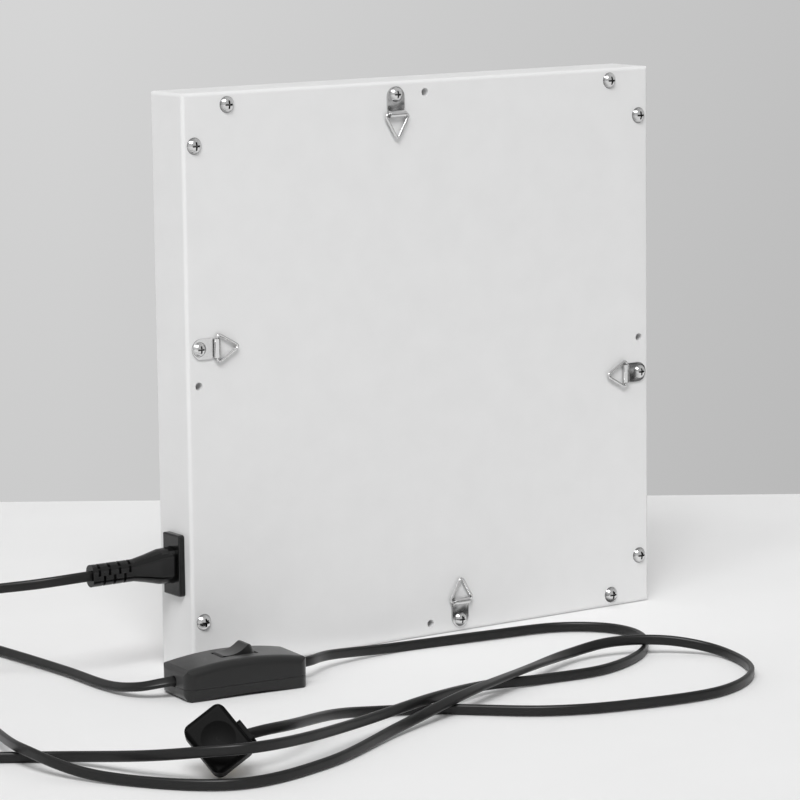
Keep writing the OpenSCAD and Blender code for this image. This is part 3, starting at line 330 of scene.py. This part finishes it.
def stage_plane(name, corners, colour, seen=True, shade=True):
    """Flat stage piece; a card that only gives or takes light isn't seen by the camera."""
    mesh = bpy.data.meshes.new(name)
    mesh.from_pydata(corners, [], [(0, 1, 2, 3)])
    finish = surface(name, colour, STAGE_ROUGH, spread=0.01, grain=200, bump=0.01, specular=0.0)
    mesh.materials.append(finish)
    obj = add_object(name, mesh)
    obj.visible_camera = seen
    obj.visible_shadow = shade


def standing(foot, height):
    """Corners of an upright plane on two points of the floor."""
    return [foot[0], foot[1], foot[1] + UP * height, foot[0] + UP * height]


def area_light(name, at, power):
    data = bpy.data.lights.new(name, "AREA")
    data.shape = "DISK"
    data.size = LAMP_SIZE
    data.energy = power
    lamp = add_object(name, data)
    lamp.location = at
    lamp.rotation_mode = "QUATERNION"
    lamp.rotation_quaternion = (LAMP_TARGET - Vector(at)).to_track_quat("-Z", "Y")


def sky_ramp(sky, along, span, levels):
    """Level that runs between two levels as the direction's share along a vector runs over a span."""
    way = sky.nodes.new("ShaderNodeTexCoord")
    share = sky.nodes.new("ShaderNodeVectorMath")
    share.operation = "DOT_PRODUCT"
    share.inputs[1].default_value = along
    level = sky.nodes.new("ShaderNodeMapRange")
    set_range(level, {"From Min": span[0], "From Max": span[1], "To Min": levels[0], "To Max": levels[1]})
    sky.links.new(way.outputs["Generated"], share.inputs[0])
    sky.links.new(share.outputs["Value"], level.inputs["Value"])
    return level.outputs["Result"]


def sky_math(sky, operation, a, b):
    node = sky.nodes.new("ShaderNodeMath")
    node.operation = operation
    sky.links.new(a, node.inputs[0])
    sky.links.new(b, node.inputs[1])
    return node.outputs["Value"]


def make_world(along_edge):
    """Pale surroundings: even light, brighter overhead, behind a grey background with painted shade,
    darker to the right and lower down.
    """
    world = bpy.data.worlds.new("studio")
    world.use_nodes = True
    sky = world.node_tree
    back = sky.nodes["Background"]
    back.inputs["Color"].default_value = (1, 1, 1, 1)
    light_level = sky_ramp(sky, UP, LIGHT_SPAN, LIGHT_LEVELS)
    across = sky_ramp(sky, along_edge, ACROSS_SPAN, ACROSS_LEVELS)
    upward = sky_ramp(sky, UP, UPWARD_SPAN, UPWARD_LEVELS)
    shown_level = sky_math(sky, "MULTIPLY", across, upward)
    ray = sky.nodes.new("ShaderNodeLightPath")
    shown = sky_math(sky, "MAXIMUM", ray.outputs["Is Camera Ray"], ray.outputs["Is Glossy Ray"])
    shown = sky_math(sky, "MAXIMUM", shown, ray.outputs["Is Transmission Ray"])
    choice = sky.nodes.new("ShaderNodeMix")
    sky.links.new(shown, choice.inputs["Factor"])
    sky.links.new(light_level, choice.inputs["A"])
    sky.links.new(shown_level, choice.inputs["B"])
    sky.links.new(choice.outputs["Result"], back.inputs["Strength"])
    bpy.context.scene.world = world


make_camera()

WHITE = surface("white_plastic", grey(0.82), 0.42, spread=0.012, grain=1400, bump=0.02)
# Steel and screws carry painted shade: their colour darkens in creases, at the strap bends and round and
# in the screw heads
STEEL = surface("plated_steel", grey(0.74), 0.14, metal=1.0, spread=0.05, grain=700, bump=0.004,
                rough_spread=0.04, painted_shade=2.0, dents=0.25)
SCREW = surface("screw_steel", grey(0.74), 0.14, metal=1.0, spread=0.05, grain=700, bump=0.004,
                rough_spread=0.04, painted_shade=6.0, painted_shade_span=(0.74, 0.98), dents=0.12)
BLACK = surface("black_plastic", grey(0.002), 0.20, spread=0.15, grain=1500, bump=0.015, specular=0.45)
SATIN = surface("satin_black", grey(0.005), 0.38, spread=0.12, grain=1800, bump=0.03, sheen=0.28)
DULL = surface("dull_black", grey(0.002), 0.42, spread=0.15, grain=1500, bump=0.02, specular=0.06)
CORD = surface("black_cord", grey(0.007), 0.34, spread=0.15, grain=900, bump=0.02, specular=0.37)
BOARD = surface("white_board", (0.78, 0.79, 0.76), 0.35, spread=0.02, grain=600, bump=0.01)
RED_LENS = surface("red_lens", (0.86, 0.32, 0.30), 0.1, spread=0.06, grain=400, bump=0.003,
                   rough_spread=0.04, clear=0.5)
CLEAR_LENS = surface("clear_lens", (0.86, 0.86, 0.90), 0.1, spread=0.04, grain=400, bump=0.003,
                     rough_spread=0.04, clear=0.5)
GREEN = surface("green_board", (0.03, 0.20, 0.09), 0.35, spread=0.15, grain=500, bump=0.01)
TAPE = surface("yellow_tape", (0.75, 0.55, 0.06), 0.45, spread=0.08, grain=500, bump=0.02)
SLEEVE = surface("blue_sleeve", (0.03, 0.04, 0.16), 0.3, spread=0.12, grain=500, bump=0.01)
COPPER = surface("copper", (0.72, 0.36, 0.20), 0.3, metal=1.0, spread=0.08, grain=600, bump=0.006)
BRASS = surface("brass", (0.78, 0.60, 0.28), 0.28, metal=1.0, spread=0.06, grain=600, bump=0.005)
LEAD = surface("lead_sleeve", (0.36, 0.05, 0.03), 0.4, spread=0.12, grain=600, bump=0.01)

make_front_frame(WHITE)
lead_a, path_a, length_a = make_cord("lead_to_switch", SWITCH_ROUTE, CORD)
lead_b, path_b, length_b = make_cord("lead_to_plug", PLUG_ROUTE, CORD)
for lead, node in ((lead_a, "cord_to_switch"), (lead_b, "cord_to_plug")):
    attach(lead, "panel")
    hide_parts(node)

# Finishes by the record's slots, and those of the nodes that have their own
FINISH = {
    "white_plastic": WHITE, "white_board": BOARD, "red_lens": RED_LENS, "clear_lens": CLEAR_LENS,
    "plated_steel": STEEL, "green_board": GREEN, "yellow_tape": TAPE, "blue_sleeve": SLEEVE,
    "copper": COPPER, "black_plastic": BLACK, "black_cord": CORD, "brass": BRASS, "lead_sleeve": LEAD,
}
OWN_FINISH = {
    "switch_base": SATIN, "switch_cover": SATIN, "rocker": SATIN, "plug_body": DULL,
    "cover_screws": SCREW, "hanger_screws": SCREW,
}
for part in frame["record"]["subparts"]:
    materials = NODES[part["node"]].data.materials
    materials.clear()
    materials.append(OWN_FINISH.get(part["node"], FINISH[part["material_slot"]]))

# Floor that ends where the photograph's table does, a pale card there and a dark card for the steel
edge_way = (EDGE_B - EDGE_A).normalized()
to_camera = Vector((edge_way.y, -edge_way.x, 0))
far_edge = [EDGE_A - edge_way * FLOOR_HALF_W, EDGE_A + edge_way * FLOOR_HALF_W]
near_edge = [far_edge[1] + to_camera * FLOOR_DEPTH, far_edge[0] + to_camera * FLOOR_DEPTH]
stage_plane("floor", far_edge + near_edge, grey(0.86))
stage_plane("pale_card", standing(far_edge, PALE_CARD_H), grey(0.57), seen=False)
stage_plane("dark_card", standing(DARK_CARD_FOOT, DARK_CARD_H), grey(0.03), seen=False, shade=False)

for name, (at, power) in LAMPS.items():
    area_light(name, at, power)
make_world(edge_way)
bpy.context.scene.view_settings.view_transform = "Standard"
